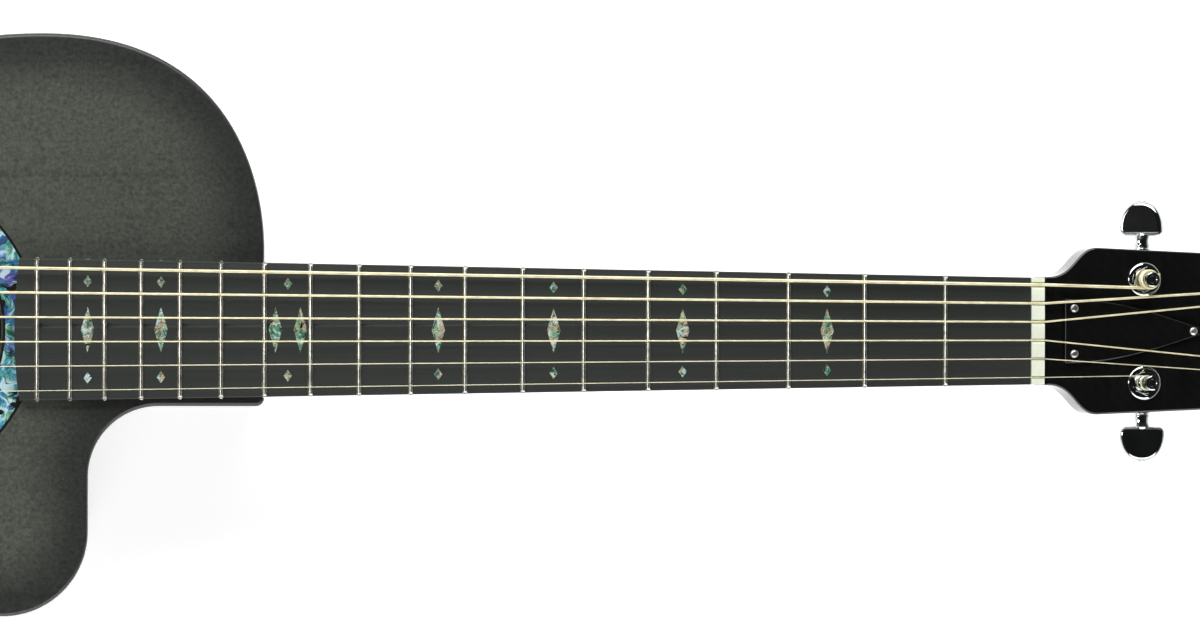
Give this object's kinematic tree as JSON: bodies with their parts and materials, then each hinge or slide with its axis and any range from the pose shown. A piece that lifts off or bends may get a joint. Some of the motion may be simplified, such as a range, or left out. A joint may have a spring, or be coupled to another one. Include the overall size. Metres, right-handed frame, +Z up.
{
  "type": "acoustic-electric guitar",
  "caption": "Small-bodied acoustic-electric guitar with a round cutaway, fretted neck, pin bridge, sealed machine heads and a preamp in its side.",
  "frame": {"origin": "bottom centre of the guitar's box, on the surface that its back lies on", "axes": "+X along the neck toward the headstock, +Y toward the bass side, +Z up, out of the soundboard"},
  "size_m": [0.9736, 0.36, 0.111],
  "materials": {
    "carbon_top": "satin carbon skin, greenish charcoal",
    "carbon_side": "gloss black carbon shell",
    "fingerboard_composite": "matte charcoal with fine grain",
    "gloss_black": "gloss black",
    "black_plastic": "fine moulded",
    "chrome": "polished",
    "plain_steel": "drawn wire",
    "wound_bronze": "wound wire, pale gold",
    "bone": "polished off-white",
    "shell": "polished blue-green shell",
    "core": "plain block",
    "circuit": "green circuit board",
    "battery_cell": "plain wrapped cell"
  },
  "bodies": {
    "guitar_frame": {"back": "carbon_side", "battery": "battery_cell", "bridge": "fingerboard_composite", "bridge_pin_1": "black_plastic", "bridge_pin_2": "black_plastic", "bridge_pin_3": "black_plastic", "bridge_pin_4": "black_plastic", "bridge_pin_5": "black_plastic", "bridge_pin_6": "black_plastic", "bridge_plate": "core", "fingerboard": "fingerboard_composite", "jack_lead": "black_plastic", "jack_nut": "chrome", "neck": "gloss_black", "neck_block": "core", "nut": "bone", "output_jack": "chrome", "pickup_lead": "black_plastic", "preamp_board": "circuit", "preamp_case": "black_plastic", "preamp_panel": "black_plastic", "rosette": "shell", "saddle": "bone", "saddle_pickup": "plain_steel", "sides": "carbon_side", "soundboard": "carbon_top", "string_1": "plain_steel", "string_2": "plain_steel", "string_3": "wound_bronze", "string_4": "wound_bronze", "string_5": "wound_bronze", "string_6": "wound_bronze", "tail_block": "core", "truss_rod": "plain_steel", "truss_rod_cover": "gloss_black", "tuner_case_1": "chrome", "tuner_case_2": "chrome", "tuner_case_3": "chrome", "tuner_case_4": "chrome", "tuner_case_5": "chrome", "tuner_case_6": "chrome"},
    "tuner_1_button": {"tuner_button_1": "chrome"},
    "tuner_1_post": {"tuner_post_1": "chrome"},
    "tuner_2_button": {"tuner_button_2": "chrome"},
    "tuner_2_post": {"tuner_post_2": "chrome"},
    "tuner_3_button": {"tuner_button_3": "chrome"},
    "tuner_3_post": {"tuner_post_3": "chrome"},
    "tuner_4_button": {"tuner_button_4": "chrome"},
    "tuner_4_post": {"tuner_post_4": "chrome"},
    "tuner_5_button": {"tuner_button_5": "chrome"},
    "tuner_5_post": {"tuner_post_5": "chrome"},
    "tuner_6_button": {"tuner_button_6": "chrome"},
    "tuner_6_post": {"tuner_post_6": "chrome"},
    "slider_bass": {"slider_bass": "black_plastic"},
    "slider_middle": {"slider_middle": "black_plastic"},
    "slider_treble": {"slider_treble": "black_plastic"},
    "volume_knob": {"volume_knob": "black_plastic"},
    "tuner_switch": {"tuner_switch": "black_plastic"},
    "battery_door": {"battery_door": "black_plastic"}
  },
  "joints": [
    {"name": "tuner_1_key_turn", "type": "hinge", "parent": "guitar_frame", "child": "tuner_1_button", "pos_m": [0.392, -0.02184, 0.0492], "axis": [0, -1, 0], "continuous": true},
    {"name": "tuner_1_post_turn", "type": "hinge", "parent": "guitar_frame", "child": "tuner_1_post", "pos_m": [0.38959, -0.02184, 0.07326], "axis": [0.1711, 0, 0.9853], "continuous": true},
    {"name": "tuner_2_key_turn", "type": "hinge", "parent": "guitar_frame", "child": "tuner_2_button", "pos_m": [0.42895, -0.02024, 0.04278], "axis": [0, -1, 0], "continuous": true},
    {"name": "tuner_2_post_turn", "type": "hinge", "parent": "guitar_frame", "child": "tuner_2_post", "pos_m": [0.42653, -0.02024, 0.06685], "axis": [0.1711, 0, 0.9853], "continuous": true},
    {"name": "tuner_3_key_turn", "type": "hinge", "parent": "guitar_frame", "child": "tuner_3_button", "pos_m": [0.4659, -0.01865, 0.03636], "axis": [0, -1, 0], "continuous": true},
    {"name": "tuner_3_post_turn", "type": "hinge", "parent": "guitar_frame", "child": "tuner_3_post", "pos_m": [0.46348, -0.01865, 0.06043], "axis": [0.1711, 0, 0.9853], "continuous": true},
    {"name": "tuner_4_key_turn", "type": "hinge", "parent": "guitar_frame", "child": "tuner_4_button", "pos_m": [0.4659, 0.01865, 0.03636], "axis": [0, 1, 0], "continuous": true},
    {"name": "tuner_4_post_turn", "type": "hinge", "parent": "guitar_frame", "child": "tuner_4_post", "pos_m": [0.46348, 0.01865, 0.06043], "axis": [0.1711, 0, 0.9853], "continuous": true},
    {"name": "tuner_5_key_turn", "type": "hinge", "parent": "guitar_frame", "child": "tuner_5_button", "pos_m": [0.42895, 0.02024, 0.04278], "axis": [0, 1, 0], "continuous": true},
    {"name": "tuner_5_post_turn", "type": "hinge", "parent": "guitar_frame", "child": "tuner_5_post", "pos_m": [0.42653, 0.02024, 0.06685], "axis": [0.1711, 0, 0.9853], "continuous": true},
    {"name": "tuner_6_key_turn", "type": "hinge", "parent": "guitar_frame", "child": "tuner_6_button", "pos_m": [0.392, 0.02184, 0.0492], "axis": [0, 1, 0], "continuous": true},
    {"name": "tuner_6_post_turn", "type": "hinge", "parent": "guitar_frame", "child": "tuner_6_post", "pos_m": [0.38959, 0.02184, 0.07326], "axis": [0.1711, 0, 0.9853], "continuous": true},
    {"name": "slider_bass_slide", "type": "slide", "parent": "guitar_frame", "child": "slider_bass", "axis": [0.0323, 0, 0.9995], "range_m": [-0.009, 0.009]},
    {"name": "slider_middle_slide", "type": "slide", "parent": "guitar_frame", "child": "slider_middle", "axis": [0.0323, 0, 0.9995], "range_m": [-0.009, 0.009]},
    {"name": "slider_treble_slide", "type": "slide", "parent": "guitar_frame", "child": "slider_treble", "axis": [0.0323, 0, 0.9995], "range_m": [-0.009, 0.009]},
    {"name": "volume_knob_turn", "type": "hinge", "parent": "guitar_frame", "child": "volume_knob", "pos_m": [-0.14466, 0.1137, 0.05118], "axis": [-0.1683, 0.9857, 0.0054], "range_deg": [-140, 140]},
    {"name": "tuner_switch_press", "type": "slide", "parent": "guitar_frame", "child": "tuner_switch", "axis": [0.1078, -0.9942, -0.0035], "range_m": [0, 0.0008], "stiffness_N_per_m": 150},
    {"name": "battery_door_swing", "type": "hinge", "parent": "guitar_frame", "child": "battery_door", "pos_m": [-0.08616, 0.12391, 0.09131], "axis": [0.0323, 0, 0.9995], "range_deg": [0, 100]}
  ],
  "couplings": [
    {"joint": "tuner_1_post_turn", "follows": "tuner_1_key_turn", "ratio": -0.0625},
    {"joint": "tuner_2_post_turn", "follows": "tuner_2_key_turn", "ratio": -0.0625},
    {"joint": "tuner_3_post_turn", "follows": "tuner_3_key_turn", "ratio": -0.0625},
    {"joint": "tuner_4_post_turn", "follows": "tuner_4_key_turn", "ratio": 0.0625},
    {"joint": "tuner_5_post_turn", "follows": "tuner_5_key_turn", "ratio": 0.0625},
    {"joint": "tuner_6_post_turn", "follows": "tuner_6_key_turn", "ratio": 0.0625}
  ]
}
